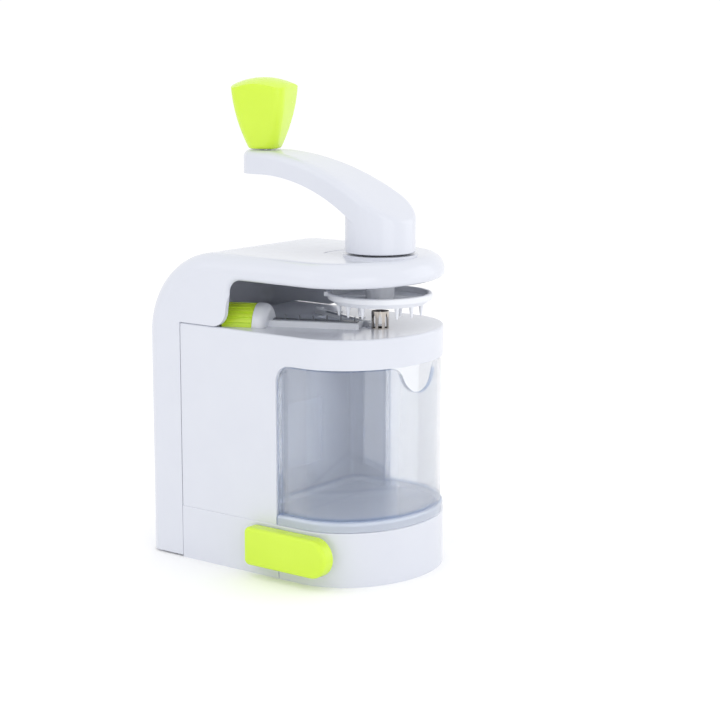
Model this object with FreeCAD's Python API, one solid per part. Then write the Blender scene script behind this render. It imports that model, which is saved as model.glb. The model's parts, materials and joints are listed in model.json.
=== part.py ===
import FreeCAD, Part
import math
import os

# Hand-cranked spiral slicer, in millimetres.
# +Z is up and +X points to the rounded front. The origin lies on the underside, on the mid-plane
# and halfway along the footprint, so the machine stands on z = 0.

V = FreeCAD.Vector
UP = V(0, 0, 1)

# ---- driving dimensions ----
LENGTH = 145.0
WIDTH = 97.0
HEIGHT = 250.0
FRONT_DEPTH = 39.0              # depth of the half-elliptical front
WALL = 2.3
BASE_TOP = 28.0
DECK_TOP = 125.4
DECK_THICK = 2.4
LEG_FRONT = -48.0               # where the arm's rear leg meets the housing
HEAD_BOTTOM = 150.2
HEAD_TOP = 162.4
HEAD_EDGE_R = 8.5
REAR_BEND_R = 45.0
SLACK = 0.3                     # gap between parts that move past each other
FIT = 0.05                      # radial clearance of a running fit

REAR = -LENGTH / 2
FRONT = LENGTH / 2
HALF_W = WIDTH / 2
FRONT_CENTRE = FRONT - FRONT_DEPTH
BODY_REAR = LEG_FRONT + SLACK

# crank, food holder and corer share one vertical axis
CRANK_X = 45.5
BOSS_R = 17.8
BOSS_BOTTOM = 164.6
SHAFT_R = 5.0
KNOB_X = -30.0
ARM_END_R = 11.2
ARM_END_BOTTOM = 200.5
ARM_END_TOP = 212.6
KNOB_BOTTOM = 213.2
KNOB_SPLIT = 244.8
KNOB_TURN = 19.2
AXLE_R = 3.0
HOLDER_R = 26.6
HOLDER_RIM_TOP = 144.0
HOLDER_FLOOR = 139.4
TOOTH_TIP = 133.3
CORER_R = 4.5
CORER_TOP = 134.4

# blade drum: its axis runs from the corer to the rear near corner
DRUM_ANGLE = 24.0
DRUM_Z = 123.0
DRUM_HALF = 5.0
DRUM_FROM = 10.0
DRUM_TO = 57.5
FLANGE_R = 13.2
DIAL_R = 13.0
DIAL_FROM = 64.5
DIAL_TO = 80.5
JOURNAL_R = 3.0
COMB_HEIGHT = 2.8
COMB_PITCHES = {"comb_coarse": 7.3, "comb_medium": 4.9, "comb_fine": 2.9}

# suction foot and its lever
PIVOT_X = 43.5
PIVOT_Z = 16.3
LEVER_R = 10.0
LEVER_TAIL = 1.0
LEVER_INNER = 49.3
LEVER_OUTER = 56.5
LEVER_SHAFT_R = 3.0
CAM_R = 5.6
CAM_OFFSET = 2.5
CUP_R = 22.5
CUP_TOP = 5.0

# window and catch container
WINDOW_REAR = 16.3
WINDOW_TOP = 110.2
WINDOW_R = 8.5
CUP_WALL = 2.0
CONTAINER_TOP = 109.6
CONTAINER_FLOOR = 28.3
CONTAINER_REAR = -4.0
CONTAINER_INSET = 1.4
FLANGE_TOP = 33.3
NOTCH_DEPTH = 14.2
NOTCH_R = 14.0
NOTCH_LIP_R = 7.0

# guide for the lifting arm
ROD_X = -60.0
ROD_Y = 30.0
ROD_R = 3.0
CHANNEL_TOP = 121.5


# ---- small helpers ----
def box(x0, x1, y0, y1, z0, z1):
    return Part.makeBox(x1 - x0, y1 - y0, z1 - z0, V(x0, y0, z0))


def rod(radius, x, y, z0, z1):
    return Part.makeCylinder(radius, z1 - z0, V(x, y, z0), UP)


def cross_rod(radius, x, z, y0, y1):
    return Part.makeCylinder(radius, y1 - y0, V(x, y0, z), V(0, 1, 0))


def join(shapes):
    whole = shapes[0]
    for shape in shapes[1:]:
        whole = whole.fuse(shape)
    return whole.removeSplitter()


def group(shapes):
    return Part.makeCompound(shapes)


def cut_all(shape, tools):
    for tool in tools:
        shape = shape.cut(tool)
    return shape


def profile(edges, direction):
    return Part.Face(Part.Wire(edges)).extrude(direction)


def outline(inset, rear, z0, z1):
    """Straight sides from rear to the half-elliptical front, inset from the footprint."""
    half = HALF_W - inset
    depth = FRONT_DEPTH - inset
    centre = V(FRONT_CENTRE, 0, z0)
    ellipse = Part.Ellipse(V(FRONT_CENTRE, half, z0), V(FRONT_CENTRE + depth, 0, z0), centre)
    edges = [
        Part.makeLine(V(rear, -half, z0), V(rear, half, z0)),
        Part.makeLine(V(rear, half, z0), V(FRONT_CENTRE, half, z0)),
        ellipse.toShape(0, math.pi),
        Part.makeLine(V(FRONT_CENTRE, -half, z0), V(rear, -half, z0)),
    ]
    return profile(edges, V(0, 0, z1 - z0))


def top_edge(z):
    """Picks the edges that lie at height z, leaving out the one across the rear."""
    return lambda edge: edge.BoundBox.ZMin > z - 0.01 and edge.BoundBox.XMax > BODY_REAR + 1


def fillet(shape, radius, wanted):
    """Round every edge that the test picks out."""
    edges = [edge for edge in shape.Edges if wanted(edge)]
    return shape.makeFillet(radius, edges)


def on_drum(s, side=0.0, z=DRUM_Z):
    """A point at distance s from the crank axis along the drum, moved sideways towards +Y."""
    angle = math.radians(DRUM_ANGLE)
    return V(CRANK_X - s * math.cos(angle) - side * math.sin(angle),
             -s * math.sin(angle) + side * math.cos(angle), z)


def drum_direction():
    return on_drum(1.0) - on_drum(0.0)


def drum_rod(radius, s0, s1):
    return Part.makeCylinder(radius, s1 - s0, on_drum(s0), drum_direction())


def drum_block(s0, s1, side0, side1, z0, z1):
    """A block laid along the drum: drawn along -X and then turned to the drum's angle."""
    block = box(CRANK_X - s1, CRANK_X - s0, side0, side1, z0, z1)
    block.rotate(V(CRANK_X, 0, 0), UP, DRUM_ANGLE)
    return block


def blade_block(s0, s1, side0, side1, z0, z1):
    """The same on the straight blade's line, which runs from the corer towards the far side."""
    block = box(CRANK_X - s1, CRANK_X - s0, side0, side1, z0, z1)
    block.rotate(V(CRANK_X, 0, 0), UP, -BLADE_ANGLE)
    return block


def screw(x, y, z_head, length, radius=1.4, head_r=2.8, head_t=1.6):
    """Cross-head screw that points up, with its head's face at z_head."""
    head = rod(head_r, x, y, z_head, z_head + head_t)
    body = join([head, rod(radius, x, y, z_head + head_t, z_head + length)])
    slots = [box(x - 1.7, x + 1.7, y - 0.35, y + 0.35, z_head - 1, z_head + 0.8),
             box(x - 0.35, x + 0.35, y - 1.7, y + 1.7, z_head - 1, z_head + 0.8)]
    return cut_all(body, slots)


# ---- base ----
PLATE_SCREWS = [(-38.0, -36.0), (-38.0, 36.0), (10.0, -37.0), (10.0, 37.0)]
HOUSING_SCREWS = [(-41.0, -20.0), (-41.0, 20.0), (-20.0, -41.0), (-20.0, 41.0)]
PAD_PLACES = [(-34.0, -24.0), (-34.0, 24.0), (-4.0, -36.0), (-4.0, 36.0)]
PLATE_THICK = 2.4
PAD_R = 6.0
PAD_DEEP = 1.2


def base_housing():
    shell = outline(0, BODY_REAR, 0, BASE_TOP)
    shell = fillet(shell, 0.6, top_edge(BASE_TOP))
    shell = shell.cut(outline(WALL, BODY_REAR + WALL, -1, BASE_TOP - WALL))
    tongue = box(REAR + 5, BODY_REAR + 1, -44, 44, 0, 3)
    bosses = [rod(3.6, x, y, PLATE_THICK, BASE_TOP - 1) for x, y in PLATE_SCREWS]
    near_boss = cross_rod(LEVER_SHAFT_R + 2.5, PIVOT_X, PIVOT_Z, -HALF_W + 0.5, -HALF_W + 8)
    ribs = [box(PIVOT_X - 5, PIVOT_X + 5, y, y + 2.4, PIVOT_Z - 6, BASE_TOP - 1) for y in (-13.0, 10.6)]
    shell = join([shell, tongue, near_boss] + bosses + ribs)
    holes = [rod(1.3, x, y, 0, BASE_TOP - 5) for x, y in PLATE_SCREWS]
    holes += [rod(1.8, x, y, BASE_TOP - 5, BASE_TOP + 1) for x, y in HOUSING_SCREWS]
    holes.append(cross_rod(LEVER_SHAFT_R + FIT, PIVOT_X, PIVOT_Z, -HALF_W - 1, 14))
    groove = box(17.7, 18.3, -HALF_W - 1, -HALF_W + 0.5, -1, BASE_TOP - 1.5)
    return cut_all(shell, holes + [groove])


def bottom_plate():
    plate = outline(WALL + 0.15, BODY_REAR + WALL + 0.15, 0, PLATE_THICK)
    holes = [rod(CUP_R + 1.3, PIVOT_X, 0, -1, PLATE_THICK + 1)]
    holes += [rod(1.6, x, y, -1, PLATE_THICK + 1) for x, y in PLATE_SCREWS]
    holes += [rod(3.0, x, y, -1, 1.7) for x, y in PLATE_SCREWS]
    holes += [rod(PAD_R, x, y, -1, PAD_DEEP) for x, y in PAD_PLACES]
    return cut_all(plate, holes)


def bottom_screws():
    return group([screw(x, y, 0.1, 11, radius=1.3) for x, y in PLATE_SCREWS])


def grip_pads():
    return group([rod(PAD_R - 0.1, x, y, 0, PAD_DEEP) for x, y in PAD_PLACES])


def housing_screws():
    return group([screw(x, y, BASE_TOP - WALL - 1.6, 9) for x, y in HOUSING_SCREWS])


# ---- suction foot ----
def suction_lever():
    """Flat thumb lever: round about its pivot, square at the free end, with a soft outer edge."""
    tail_r = 3.0
    x1 = LEVER_TAIL
    y = -LEVER_INNER
    low = PIVOT_Z - LEVER_R
    high = PIVOT_Z + LEVER_R
    bend = tail_r * (1 - math.sqrt(0.5))
    edges = [
        Part.makeLine(V(x1 + tail_r, y, low), V(PIVOT_X, y, low)),
        Part.Arc(V(PIVOT_X, y, low), V(PIVOT_X + LEVER_R, y, PIVOT_Z), V(PIVOT_X, y, high)).toShape(),
        Part.makeLine(V(PIVOT_X, y, high), V(x1 + tail_r, y, high)),
        Part.Arc(V(x1 + tail_r, y, high), V(x1 + bend, y, high - bend), V(x1, y, high - tail_r)).toShape(),
        Part.makeLine(V(x1, y, high - tail_r), V(x1, y, low + tail_r)),
        Part.Arc(V(x1, y, low + tail_r), V(x1 + bend, y, low + bend), V(x1 + tail_r, y, low)).toShape(),
    ]
    lever = profile(edges, V(0, LEVER_INNER - LEVER_OUTER, 0))
    lever = fillet(lever, 1.8, lambda e: e.BoundBox.YMax < -LEVER_OUTER + 0.01)
    return lever.cut(cross_rod(LEVER_SHAFT_R, PIVOT_X, PIVOT_Z, -LEVER_OUTER + 2, -LEVER_INNER + 1))


def lever_shaft():
    """Straight shaft that carries an eccentric cam between the base's two ribs."""
    shaft = cross_rod(LEVER_SHAFT_R, PIVOT_X, PIVOT_Z, -LEVER_OUTER + 2, 15.0)
    cam = cross_rod(CAM_R, PIVOT_X, PIVOT_Z - CAM_OFFSET, -5.0, 5.0)
    groove = cross_rod(LEVER_SHAFT_R + 1, PIVOT_X, PIVOT_Z, 13.4, 14.2)
    groove = groove.cut(cross_rod(LEVER_SHAFT_R - 0.8, PIVOT_X, PIVOT_Z, 13.0, 15.0))
    return join([shaft, cam]).cut(groove)


def snap_ring(inner, outer, thick, place, axis):
    """Open retaining ring that snaps into a groove."""
    ring = Part.makeCylinder(outer, thick, place, axis).cut(Part.makeCylinder(inner, thick, place, axis))
    gap = Part.makeBox(outer * 2, inner * 1.1, outer * 2)
    gap.translate(V(0, -inner * 0.55, -outer))
    turn = FreeCAD.Rotation(UP, axis)
    gap.Placement = FreeCAD.Placement(place, turn).multiply(gap.Placement)
    return ring.cut(gap)


def lever_clip():
    return snap_ring(LEVER_SHAFT_R - 0.75, LEVER_SHAFT_R + 2.2, 0.7, V(PIVOT_X, 13.45, PIVOT_Z), V(0, 1, 0))


def cup_yoke():
    """Bridge over the cam whose two legs stand on the round plate above the cup."""
    top = PIVOT_Z - CAM_OFFSET + CAM_R + 0.35
    leg = CAM_R + CAM_OFFSET + 0.8
    bridge = box(PIVOT_X - leg - 2.6, PIVOT_X + leg + 2.6, -4.4, 4.4, top, top + 2.8)
    sides = [box(PIVOT_X - leg - 2.6, PIVOT_X - leg, -4.4, 4.4, CUP_TOP + 1, top + 1),
             box(PIVOT_X + leg, PIVOT_X + leg + 2.6, -4.4, 4.4, CUP_TOP + 1, top + 1)]
    return join([bridge, rod(12.0, PIVOT_X, 0, CUP_TOP, CUP_TOP + 2)] + sides)


def suction_cup():
    """Shallow rubber dish with a thin lip that lies on the worktop."""
    edges = [
        Part.makeLine(V(0, 0, CUP_TOP), V(12.0, 0, CUP_TOP)),
        Part.Arc(V(12.0, 0, CUP_TOP), V(18.2, 0, 3.6), V(CUP_R, 0, 0)).toShape(),
        Part.makeLine(V(CUP_R, 0, 0), V(CUP_R - 1.2, 0, 0)),
        Part.Arc(V(CUP_R - 1.2, 0, 0), V(16.6, 0, 2.2), V(10.5, 0, 2.8)).toShape(),
        Part.makeLine(V(10.5, 0, 2.8), V(0, 0, 2.8)),
        Part.makeLine(V(0, 0, 2.8), V(0, 0, CUP_TOP)),
    ]
    cup = Part.Face(Part.Wire(edges)).revolve(V(0, 0, 0), UP, 360)
    cup.translate(V(PIVOT_X, 0, 0))
    return cup


# ---- upper housing ----
def window_block(gap):
    """The space below the front skirt, with one rounded corner, right across the housing."""
    y = -HALF_W - 5
    x0 = WINDOW_REAR + gap
    top = WINDOW_TOP - gap
    radius = WINDOW_R - gap
    corner = radius * (1 - math.sqrt(0.5))
    low = BASE_TOP - 5
    front = FRONT + 5
    edges = [
        Part.makeLine(V(x0, y, low), V(x0, y, top - radius)),
        Part.Arc(V(x0, y, top - radius), V(x0 + corner, y, top - corner), V(x0 + radius, y, top)).toShape(),
        Part.makeLine(V(x0 + radius, y, top), V(front, y, top)),
        Part.makeLine(V(front, y, top), V(front, y, low)),
        Part.makeLine(V(front, y, low), V(x0, y, low)),
    ]
    return profile(edges, V(0, WIDTH + 10, 0))


def main_housing():
    deck_under = DECK_TOP - DECK_THICK
    inset = 0.3
    shell = outline(inset, BODY_REAR, BASE_TOP, DECK_TOP)
    shell = fillet(shell, 1.2, top_edge(DECK_TOP))
    shell = shell.cut(outline(inset + WALL, BODY_REAR + WALL, BASE_TOP - 1, deck_under))
    shell = shell.cut(window_block(0))
    bosses = []
    for x, y in HOUSING_SCREWS:
        toward_rear = abs(y) < 30
        bosses.append(rod(3.4, x, y, BASE_TOP, BASE_TOP + 12))
        wall_x = BODY_REAR + 1 if toward_rear else x - 1
        if toward_rear:
            bosses.append(box(wall_x, x, y - 1, y + 1, BASE_TOP, BASE_TOP + 12))
        else:
            side = math.copysign(1, y)
            ends = sorted([y, side * (HALF_W - 1)])
            bosses.append(box(x - 1, x + 1, ends[0], ends[1], BASE_TOP, BASE_TOP + 12))
    bulkhead = box(-8.6, -6.8, -46.5, 46.5, BASE_TOP, 108.0)
    front_bearing = drum_block(DRUM_FROM - 3.1, DRUM_FROM - 0.6, -6, 6, DRUM_Z - 6, DECK_TOP - 1)
    rear_bearing = drum_block(DIAL_TO + 1.2, DIAL_TO + 4.2, -7, 7, DRUM_Z - 7, DECK_TOP - 0.6)
    shell = join([shell, bulkhead, front_bearing] + bosses)
    wide = DIAL_R + 1.2
    cuts = [
        drum_block(DRUM_FROM - 0.5, DRUM_TO, -8.8, 8.8, deck_under - 0.5, DECK_TOP + 1),
        drum_block(DRUM_TO - 0.8, DIAL_TO + 1.1, -wide, wide, deck_under - 0.5, DECK_TOP + 1),
        blade_block(8.0, 50.0, -7.5, -2.2, deck_under - 1, DECK_TOP + 1),
        rod(CORER_R, CRANK_X, 0, deck_under - 1, DECK_TOP + 1),
    ]
    shell = join([cut_all(shell, cuts), rear_bearing])
    holes = [drum_rod(2.5 + FIT, DRUM_FROM - 5, DRUM_FROM), drum_rod(JOURNAL_R + FIT, DIAL_TO, DIAL_TO + 6)]
    holes += [rod(1.4, x, y, BASE_TOP - 1, BASE_TOP + 9) for x, y in HOUSING_SCREWS]
    holes += [Part.makeCylinder(1.2, 4, V(BODY_REAR - 1, y, z), V(1, 0, 0)) for y, z in CHANNEL_SCREWS]
    return cut_all(shell, holes)


def corer():
    """Steel tube that bores out the core: lancet slots round its wall and a sharpened rim."""
    flange_top = DECK_TOP - DECK_THICK
    flange = rod(CORER_R + 0.6, CRANK_X, 0, flange_top - 1, flange_top)
    tube = rod(CORER_R, CRANK_X, 0, flange_top, CORER_TOP).fuse(flange)
    tube = tube.cut(rod(CORER_R - 0.8, CRANK_X, 0, flange_top - 2, CORER_TOP + 1))
    bevel = Part.makeCone(CORER_R - 0.8, CORER_R - 0.15, 1.2, V(CRANK_X, 0, CORER_TOP - 1.2), UP)
    slots = []
    count = 8
    width = 1.9
    foot = DECK_TOP + 0.4
    shoulder = CORER_TOP - 3.4
    tip = CORER_TOP - 0.7
    for i in range(count):
        points = [V(0, -width / 2, foot), V(0, width / 2, foot), V(0, width / 2, shoulder), V(0, 0, tip),
                  V(0, -width / 2, shoulder), V(0, -width / 2, foot)]
        slot = Part.Face(Part.makePolygon(points)).extrude(V(CORER_R + 2, 0, 0))
        slot.translate(V(CRANK_X, 0, 0))
        slot.rotate(V(CRANK_X, 0, 0), UP, 360 / count * i - 54)
        slots.append(slot)
    return cut_all(tube, [bevel] + slots)


BLADE_ANGLE = 20.0
BLADE_FROM = 7.5
BLADE_TO = 48.0
HOLDER_ARM_TO = 60.0            # the blade holder's round foot
BLADE_LOW = 126.2
BLADE_RIVETS = (18.0, 40.0)


def blade_profile(points, s0, s1):
    """Extrude a cross-section, given as side and height, along the straight blade's line."""
    corners = [V(CRANK_X - s0, side, z) for side, z in points]
    corners.append(corners[0])
    solid = Part.Face(Part.makePolygon(corners)).extrude(V(s0 - s1, 0, 0))
    solid.rotate(V(CRANK_X, 0, 0), UP, -BLADE_ANGLE)
    return solid


def blade_holder():
    """Wedge behind the throat, which carries the blade, and a narrow arm that ends in a round foot."""
    section = [(-1.8, DECK_TOP), (7.5, DECK_TOP), (-1.8, BLADE_LOW + 1.2)]
    wedge = blade_profile(section, BLADE_FROM, BLADE_TO)
    arm = blade_profile([(-1.8, DECK_TOP), (1.2, DECK_TOP), (1.2, BLADE_LOW + 1.6), (-1.8, BLADE_LOW + 1.6)],
                        BLADE_TO - 2, HOLDER_ARM_TO)
    tip = rod(2.2, CRANK_X - HOLDER_ARM_TO, 0.4, DECK_TOP, BLADE_LOW + 2.2)
    tip.rotate(V(CRANK_X, 0, 0), UP, -BLADE_ANGLE)
    holes = [blade_rod(1.1, s, 1.0, DECK_TOP - 1, BLADE_LOW + 3) for s in BLADE_RIVETS]
    holder = join([wedge, arm, tip])
    return cut_all(holder.cut(straight_blade_solid()), holes)


def blade_rod(radius, s, side, z0, z1):
    pin = rod(radius, CRANK_X - s, side, z0, z1)
    pin.rotate(V(CRANK_X, 0, 0), UP, -BLADE_ANGLE)
    return pin


def straight_blade_solid():
    """Thin ground blade that leans over the throat, edge first."""
    z = BLADE_LOW
    section = [(-5.0, z + 1.95), (3.4, z + 0.3), (3.4, z + 1.0), (-3.6, z + 2.4)]
    return blade_profile(section, BLADE_FROM + 6, BLADE_TO - 2.6)


def straight_blade():
    holes = [blade_rod(1.1, s, 1.0, DECK_TOP, BLADE_LOW + 5) for s in BLADE_RIVETS]
    return cut_all(straight_blade_solid(), holes)


def blade_rivets():
    rivets = []
    for s in BLADE_RIVETS:
        shank = blade_rod(1.1, s, 1.0, DECK_TOP, BLADE_LOW + 1.9)
        rivets.append(shank.fuse(blade_rod(1.9, s, 1.0, BLADE_LOW + 1.9, BLADE_LOW + 2.6)))
    return group(rivets)


# ---- blade drum ----
def blade_drum():
    """Square bar with a journal at each end: three of its faces carry combs and one is plain."""
    bar = drum_block(DRUM_FROM, DRUM_TO, -DRUM_HALF, DRUM_HALF, DRUM_Z - DRUM_HALF, DRUM_Z + DRUM_HALF)
    hub = drum_rod(4.5, DRUM_TO - 1, DIAL_TO)
    front_journal = drum_rod(2.5, DRUM_FROM - 2.7, DRUM_FROM + 1)
    rear_journal = drum_rod(JOURNAL_R, DIAL_TO - 1, DIAL_TO + 4.6)
    return join([bar, hub, front_journal, rear_journal])


def drum_flange():
    """Round end plate, domed towards the bar, that hides the hub."""
    disc = drum_rod(FLANGE_R, DRUM_TO, DIAL_FROM - 0.2)
    centre = on_drum(DRUM_TO)
    circles = [edge for edge in disc.Edges if len(edge.Vertexes) == 1]
    near_bar = [edge for edge in circles if edge.CenterOfMass.distanceToPoint(centre) < 0.5]
    disc = disc.makeFillet(4.0, near_bar)
    return disc.cut(drum_rod(4.5, DRUM_TO - 1, DIAL_FROM + 1))


def selector_dial():
    """Ribbed grip that turns the drum."""
    dial = drum_rod(DIAL_R - 0.5, DIAL_FROM, DIAL_TO)
    ribs = []
    count = 22
    for i in range(count):
        crest = DRUM_Z + DIAL_R - 0.02
        rib = drum_block(DIAL_FROM + 0.4, DIAL_TO - 0.4, -0.8, 0.8, crest - 2, crest)
        rib.rotate(on_drum(0), drum_direction(), 360 / count * i)
        ribs.append(rib)
    return join([dial] + ribs).cut(drum_rod(4.5, DIAL_FROM - 1, DIAL_TO + 1))


def comb(pitch, quarter):
    """Steel strip with upright scoring teeth, on one face of the bar."""
    start = DRUM_FROM + 1.5
    end = DRUM_TO - 1.5
    strip = drum_block(start, end, -2.0, 2.0, DRUM_Z + DRUM_HALF, DRUM_Z + DRUM_HALF + 0.5)
    teeth = []
    count = int((end - start - 3) / pitch)
    for i in range(count + 1):
        s = start + 1.5 + i * pitch
        teeth.append(drum_block(s, s + 0.4, -0.8, 0.8, DRUM_Z + DRUM_HALF, DRUM_Z + DRUM_HALF + COMB_HEIGHT))
    whole = join([strip] + teeth)
    whole.rotate(on_drum(0), drum_direction(), 90 * quarter)
    return whole


def detent_spring():
    """Leaf spring under the flange that holds the drum at each quarter turn."""
    low = DRUM_Z - FLANGE_R - 1.3
    middle = (DRUM_TO + DIAL_FROM) / 2
    leaf = drum_block(middle - 2, middle + 2, -6, 15, low - 0.1, low + 0.5)
    bump = drum_rod(0.7, middle - 2, middle + 2)
    bump.translate(V(0, 0, low + 0.3 - DRUM_Z))
    foot = drum_block(middle - 2, middle + 2, 14.4, 15, low - 0.1, DECK_TOP - DECK_THICK)
    return join([leaf, bump, foot])


# ---- catch container ----
def notch_cutter():
    """Finger notch: a round hollow that runs out into the rim over two convex lips."""
    x = FRONT - 20
    centre_z = CONTAINER_TOP - NOTCH_DEPTH + NOTCH_R
    lip_z = CONTAINER_TOP - NOTCH_LIP_R
    lip_y = math.sqrt((NOTCH_R + NOTCH_LIP_R) ** 2 - (centre_z - lip_z) ** 2)
    share = NOTCH_R / (NOTCH_R + NOTCH_LIP_R)
    meet_y = lip_y * share
    meet_z = centre_z - (centre_z - lip_z) * share
    half_way = math.atan2(meet_z - lip_z, meet_y - lip_y)
    if half_way < 0:
        half_way += 2 * math.pi
    half_way = (half_way + math.pi / 2) / 2
    lip_mid_y = lip_y + NOTCH_LIP_R * math.cos(half_way)
    lip_mid_z = lip_z + NOTCH_LIP_R * math.sin(half_way)
    top = CONTAINER_TOP
    edges = [
        Part.Arc(V(x, -lip_y, top), V(x, -lip_mid_y, lip_mid_z), V(x, -meet_y, meet_z)).toShape(),
        Part.Arc(V(x, -meet_y, meet_z), V(x, 0, centre_z - NOTCH_R), V(x, meet_y, meet_z)).toShape(),
        Part.Arc(V(x, meet_y, meet_z), V(x, lip_mid_y, lip_mid_z), V(x, lip_y, top)).toShape(),
        Part.makeLine(V(x, lip_y, top), V(x, lip_y, top + 5)),
        Part.makeLine(V(x, lip_y, top + 5), V(x, -lip_y, top + 5)),
        Part.makeLine(V(x, -lip_y, top + 5), V(x, -lip_y, top)),
    ]
    return profile(edges, V(40, 0, 0))


def container():
    """Clear drawer: a full-width front behind the skirt line and a narrower rear inside the housing."""
    shoulder = WINDOW_REAR + 0.6
    rear_half = 43.6
    floor_thick = 2.4
    flange = outline(0.1, shoulder, CONTAINER_FLOOR, FLANGE_TOP)
    flange = fillet(flange, 1.6, lambda e: e.BoundBox.ZMin > FLANGE_TOP - 0.01 and e.BoundBox.XMax > 20)
    front = outline(CONTAINER_INSET, shoulder, CONTAINER_FLOOR, CONTAINER_TOP).common(window_block(0.6))
    rear = box(CONTAINER_REAR, shoulder + 1, -rear_half, rear_half, CONTAINER_FLOOR, CONTAINER_TOP)
    rear = fillet(rear, 6.0, lambda e: e.BoundBox.ZLength > 50 and e.BoundBox.XMax < CONTAINER_REAR + 1)
    body = join([flange, front, rear])
    inside_z = CONTAINER_FLOOR + floor_thick
    hollow = outline(CONTAINER_INSET + CUP_WALL, shoulder + CUP_WALL, inside_z, CONTAINER_TOP + 1)
    rear_hollow = box(CONTAINER_REAR + CUP_WALL, shoulder + 5, -rear_half + CUP_WALL, rear_half - CUP_WALL,
                      inside_z, CONTAINER_TOP + 1)
    rear_hollow = fillet(rear_hollow, 4.0,
                         lambda e: e.BoundBox.ZLength > 50 and e.BoundBox.XMax < CONTAINER_REAR + 3)
    body = cut_all(body, [hollow, rear_hollow, notch_cutter()])
    panel = box(CONTAINER_REAR - 0.8, CONTAINER_REAR + 0.5, -14.5, 14.5, 47, 82)
    return body.fuse(panel).removeSplitter()


# ---- lifting arm ----
SLIDER_LOW = 6.5
SLIDER_HIGH = 22.5
CHANNEL_SCREWS = [(-30.0, 30.0), (30.0, 30.0), (-30.0, 95.0), (30.0, 95.0)]
SLIDER_SCREWS = [(-16.0, 14.5), (16.0, 14.5)]
COVER_SCREWS = [(-8.0, -36.0), (-8.0, 36.0), (34.0, -38.0), (34.0, 38.0)]


def arm_profile(inset, low):
    """Side view of the arm without its notch: leg, rear bend and head, extruded right across."""
    y = -HALF_W - 5
    rear = REAR + inset
    top = HEAD_TOP - inset
    bend = REAR_BEND_R - inset
    bend_x = REAR + REAR_BEND_R
    bend_z = HEAD_TOP - REAR_BEND_R
    middle = bend * math.sqrt(0.5)
    front = FRONT + 5
    edges = [
        Part.makeLine(V(rear, y, low), V(rear, y, bend_z)),
        Part.Arc(V(rear, y, bend_z), V(bend_x - middle, y, bend_z + middle), V(bend_x, y, top)).toShape(),
        Part.makeLine(V(bend_x, y, top), V(front, y, top)),
        Part.makeLine(V(front, y, top), V(front, y, low)),
        Part.makeLine(V(front, y, low), V(rear, y, low)),
    ]
    return profile(edges, V(0, WIDTH + 10, 0))


def arm_block(inset, low):
    """Plan outline and side view intersected, with one soft edge up the rear corners and round the top."""
    block = arm_profile(inset, low).common(outline(inset, REAR + inset, low, HEAD_TOP - inset))
    radius = HEAD_EDGE_R - inset
    half = HALF_W - inset
    rear = REAR + inset
    top = HEAD_TOP - inset

    def outer(edge):
        b = edge.BoundBox
        side = abs(abs(edge.CenterOfMass.y) - half) < 0.01 and b.YLength < 0.01
        upright = b.XMax < rear + 0.01 and b.ZLength > 10 and side
        bend = side and b.XMin < rear + 0.01 and b.ZMax > top - 0.01 and b.XLength > 5
        along = side and b.ZMin > top - 0.01
        nose = b.ZMin > top - 0.01 and b.XMax > FRONT - inset - 0.01
        return upright or bend or along or nose

    return fillet(block, radius, outer)


def under_arm_cutter():
    """Everything in front of the leg and below the head, up to the swept S of the side notch."""
    y = -HALF_W - 5
    seat = DECK_TOP + SLACK
    foot_x = -25.5
    edge_x = -15.0
    low_r = 9.0
    high_r = 7.0
    front = FRONT + 5
    slope = math.sqrt(0.5)
    low_z = seat + low_r
    high_z = HEAD_BOTTOM - high_r
    edges = [
        Part.makeLine(V(LEG_FRONT, y, -5), V(LEG_FRONT, y, seat)),
        Part.makeLine(V(LEG_FRONT, y, seat), V(foot_x, y, seat)),
        Part.Arc(V(foot_x, y, seat), V(edge_x - 1.2 - low_r + low_r * slope, y, low_z - low_r * slope),
                 V(edge_x - 1.2, y, low_z)).toShape(),
        Part.makeLine(V(edge_x - 1.2, y, low_z), V(edge_x, y, high_z)),
        Part.Arc(V(edge_x, y, high_z), V(edge_x + high_r - high_r * slope, y, high_z + high_r * slope),
                 V(edge_x + high_r, y, HEAD_BOTTOM)).toShape(),
        Part.makeLine(V(edge_x + high_r, y, HEAD_BOTTOM), V(front, y, HEAD_BOTTOM)),
        Part.makeLine(V(front, y, HEAD_BOTTOM), V(front, y, -5)),
        Part.makeLine(V(front, y, -5), V(LEG_FRONT, y, -5)),
    ]
    return profile(edges, V(0, WIDTH + 10, 0))


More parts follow.
